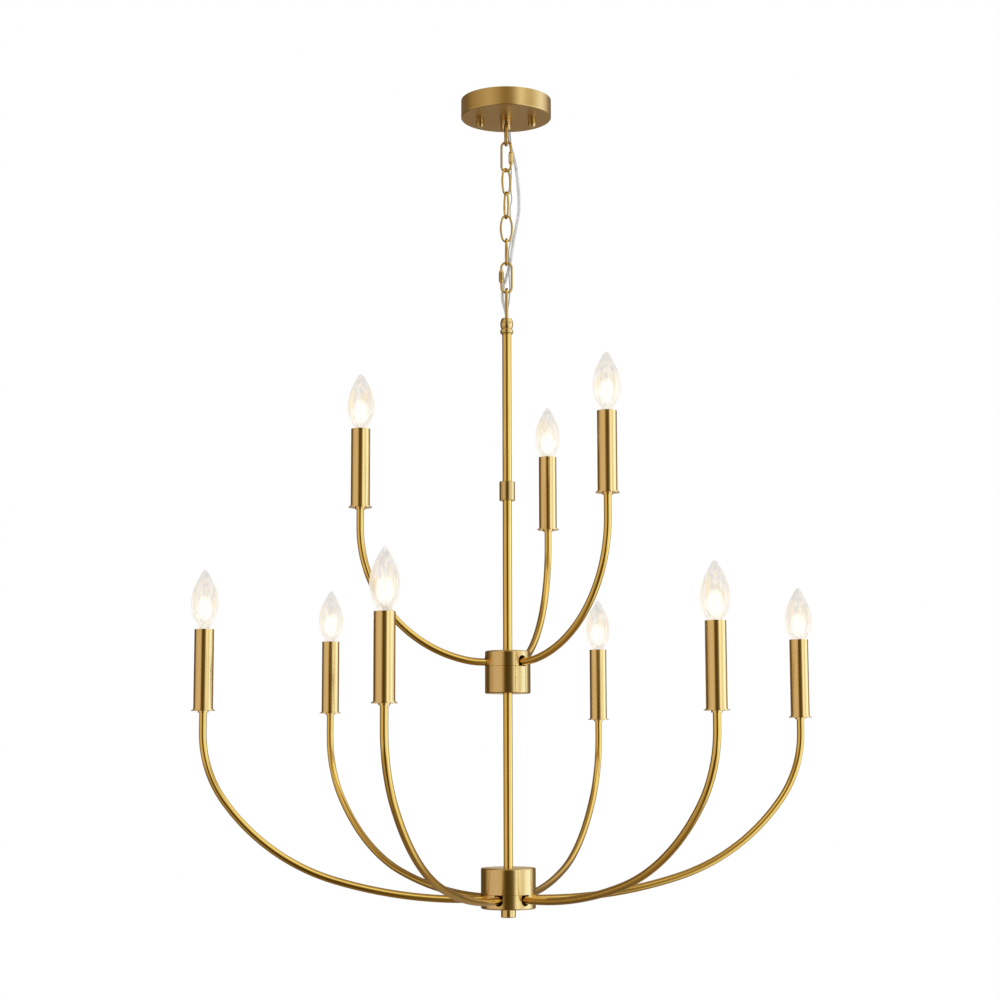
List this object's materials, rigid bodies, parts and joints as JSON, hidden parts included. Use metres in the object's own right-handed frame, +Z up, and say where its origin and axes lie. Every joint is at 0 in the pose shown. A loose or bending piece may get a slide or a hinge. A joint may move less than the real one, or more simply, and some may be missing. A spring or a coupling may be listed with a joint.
{
  "type": "two-tier candle chandelier",
  "caption": "Two-tier brass candle chandelier on a ceiling canopy and short chain, with slender curved arms rising from two hubs.",
  "frame": {"origin": "centre of the canopy's rim, on the ceiling plane", "axes": "+Z up into the ceiling; +X along the line of the canopy's knobs, +Y away from the viewer's side; the fixture hangs towards -Z"},
  "size_m": [0.8022, 0.762, 1.0731],
  "materials": {
    "satin_brass": "satin",
    "plated_steel": "satin",
    "bulb_glass": "gloss",
    "insulator": "matte",
    "clear_jacket": "gloss",
    "ground_wire_copper": "gloss"
  },
  "bodies": {
    "ceiling": {"mounting_bracket": "plated_steel", "canopy_studs": "plated_steel", "canopy": "satin_brass", "canopy_head": "satin_brass", "canopy_head_pin": "satin_brass", "canopy_head_nut": "plated_steel", "cord_bushing": "insulator", "power_cord": "clear_jacket", "ground_wire": "ground_wire_copper"},
    "knob_left": {"canopy_knob_left": "satin_brass"},
    "knob_right": {"canopy_knob_right": "satin_brass"},
    "top_ring": {"top_ring": "satin_brass"},
    "upper_quick_link": {"upper_quick_link": "satin_brass"},
    "upper_quick_link_nut": {"upper_quick_link_nut": "satin_brass"},
    "link_1": {"chain_link_1": "satin_brass"},
    "link_2": {"chain_link_2": "satin_brass"},
    "link_3": {"chain_link_3": "satin_brass"},
    "link_4": {"chain_link_4": "satin_brass"},
    "lower_quick_link": {"lower_quick_link": "satin_brass"},
    "lower_quick_link_nut": {"lower_quick_link_nut": "satin_brass"},
    "fixture": {"hang_loop": "satin_brass", "ball_head": "satin_brass", "upper_rod": "satin_brass", "rod_coupler": "satin_brass", "middle_rod": "satin_brass", "upper_hub_body": "satin_brass", "upper_hub_cap": "satin_brass", "lower_rod": "satin_brass", "lower_hub_body": "satin_brass", "lower_hub_cap": "satin_brass", "candle_cups": "satin_brass", "lamp_sockets": "insulator", "lower_arm_1": "satin_brass", "lower_arm_2": "satin_brass", "lower_arm_3": "satin_brass", "lower_arm_4": "satin_brass", "lower_arm_5": "satin_brass", "lower_arm_6": "satin_brass", "upper_arm_1": "satin_brass", "upper_arm_2": "satin_brass", "upper_arm_3": "satin_brass", "lower_sleeve_1": "satin_brass", "lower_sleeve_2": "satin_brass", "lower_sleeve_3": "satin_brass", "lower_sleeve_4": "satin_brass", "lower_sleeve_5": "satin_brass", "lower_sleeve_6": "satin_brass", "upper_sleeve_1": "satin_brass", "upper_sleeve_2": "satin_brass", "upper_sleeve_3": "satin_brass"},
    "finial": {"finial": "satin_brass"},
    "bulb_1": {"bulb_1": "bulb_glass"},
    "bulb_2": {"bulb_2": "bulb_glass"},
    "bulb_3": {"bulb_3": "bulb_glass"},
    "bulb_4": {"bulb_4": "bulb_glass"},
    "bulb_5": {"bulb_5": "bulb_glass"},
    "bulb_6": {"bulb_6": "bulb_glass"},
    "bulb_7": {"bulb_7": "bulb_glass"},
    "bulb_8": {"bulb_8": "bulb_glass"},
    "bulb_9": {"bulb_9": "bulb_glass"}
  },
  "joints": [
    {"name": "ring_swing", "type": "hinge", "parent": "ceiling", "child": "top_ring", "pos_m": [0, 0, -0.0365], "axis": [1, 0, 0], "range_deg": [-10, 10], "deforming": ["power_cord", "ground_wire"]},
    {"name": "upper_quick_link_swing", "type": "hinge", "parent": "top_ring", "child": "upper_quick_link", "pos_m": [0, 0, -0.0605], "axis": [-0.0872, 0.9962, 0], "range_deg": [-10, 10], "deforming": ["power_cord", "ground_wire"]},
    {"name": "link_1_swing", "type": "hinge", "parent": "upper_quick_link", "child": "link_1", "pos_m": [0, 0, -0.097], "axis": [0.9063, -0.4226, 0], "range_deg": [-10, 10], "deforming": ["power_cord", "ground_wire"]},
    {"name": "link_2_swing", "type": "hinge", "parent": "link_1", "child": "link_2", "pos_m": [0, 0, -0.1289], "axis": [0.7071, 0.7071, 0], "range_deg": [-10, 10], "deforming": ["power_cord", "ground_wire"]},
    {"name": "link_3_swing", "type": "hinge", "parent": "link_2", "child": "link_3", "pos_m": [0, 0, -0.1609], "axis": [-0.342, 0.9397, 0], "range_deg": [-10, 10], "deforming": ["power_cord", "ground_wire"]},
    {"name": "link_4_swing", "type": "hinge", "parent": "link_3", "child": "link_4", "pos_m": [0, 0, -0.1929], "axis": [-1, 0, 0], "range_deg": [-10, 10], "deforming": ["power_cord", "ground_wire"]},
    {"name": "lower_quick_link_swing", "type": "hinge", "parent": "link_4", "child": "lower_quick_link", "pos_m": [0, 0, -0.2249], "axis": [0.1045, -0.9945, 0], "range_deg": [-10, 10], "deforming": ["power_cord", "ground_wire"]},
    {"name": "fixture_swing", "type": "hinge", "parent": "lower_quick_link", "child": "fixture", "pos_m": [0, 0, -0.2621], "axis": [1, 0, 0], "range_deg": [-10, 10], "deforming": ["power_cord", "ground_wire"]},
    {"name": "upper_nut_travel", "type": "slide", "parent": "upper_quick_link", "child": "upper_quick_link_nut", "axis": [0, 0, 1], "range_m": [0, 0.008]},
    {"name": "lower_nut_travel", "type": "slide", "parent": "lower_quick_link", "child": "lower_quick_link_nut", "axis": [0, 0, -1], "range_m": [0, 0.006]},
    {"name": "knob_left_travel", "type": "slide", "parent": "ceiling", "child": "knob_left", "axis": [0, 0, -1], "range_m": [0, 0.008]},
    {"name": "knob_right_travel", "type": "slide", "parent": "ceiling", "child": "knob_right", "axis": [0, 0, -1], "range_m": [0, 0.008]},
    {"name": "bulb_1_lift", "type": "slide", "parent": "fixture", "child": "bulb_1", "axis": [0, 0, 1], "range_m": [0, 0.03]},
    {"name": "bulb_2_lift", "type": "slide", "parent": "fixture", "child": "bulb_2", "axis": [0, 0, 1], "range_m": [0, 0.03]},
    {"name": "bulb_3_lift", "type": "slide", "parent": "fixture", "child": "bulb_3", "axis": [0, 0, 1], "range_m": [0, 0.03]},
    {"name": "bulb_4_lift", "type": "slide", "parent": "fixture", "child": "bulb_4", "axis": [0, 0, 1], "range_m": [0, 0.03]},
    {"name": "bulb_5_lift", "type": "slide", "parent": "fixture", "child": "bulb_5", "axis": [0, 0, 1], "range_m": [0, 0.03]},
    {"name": "bulb_6_lift", "type": "slide", "parent": "fixture", "child": "bulb_6", "axis": [0, 0, 1], "range_m": [0, 0.03]},
    {"name": "bulb_7_lift", "type": "slide", "parent": "fixture", "child": "bulb_7", "axis": [0, 0, 1], "range_m": [0, 0.03]},
    {"name": "bulb_8_lift", "type": "slide", "parent": "fixture", "child": "bulb_8", "axis": [0, 0, 1], "range_m": [0, 0.03]},
    {"name": "bulb_9_lift", "type": "slide", "parent": "fixture", "child": "bulb_9", "axis": [0, 0, 1], "range_m": [0, 0.03]},
    {"name": "finial_travel", "type": "slide", "parent": "fixture", "child": "finial", "axis": [0, 0, -1], "range_m": [0, 0.008]}
  ]
}
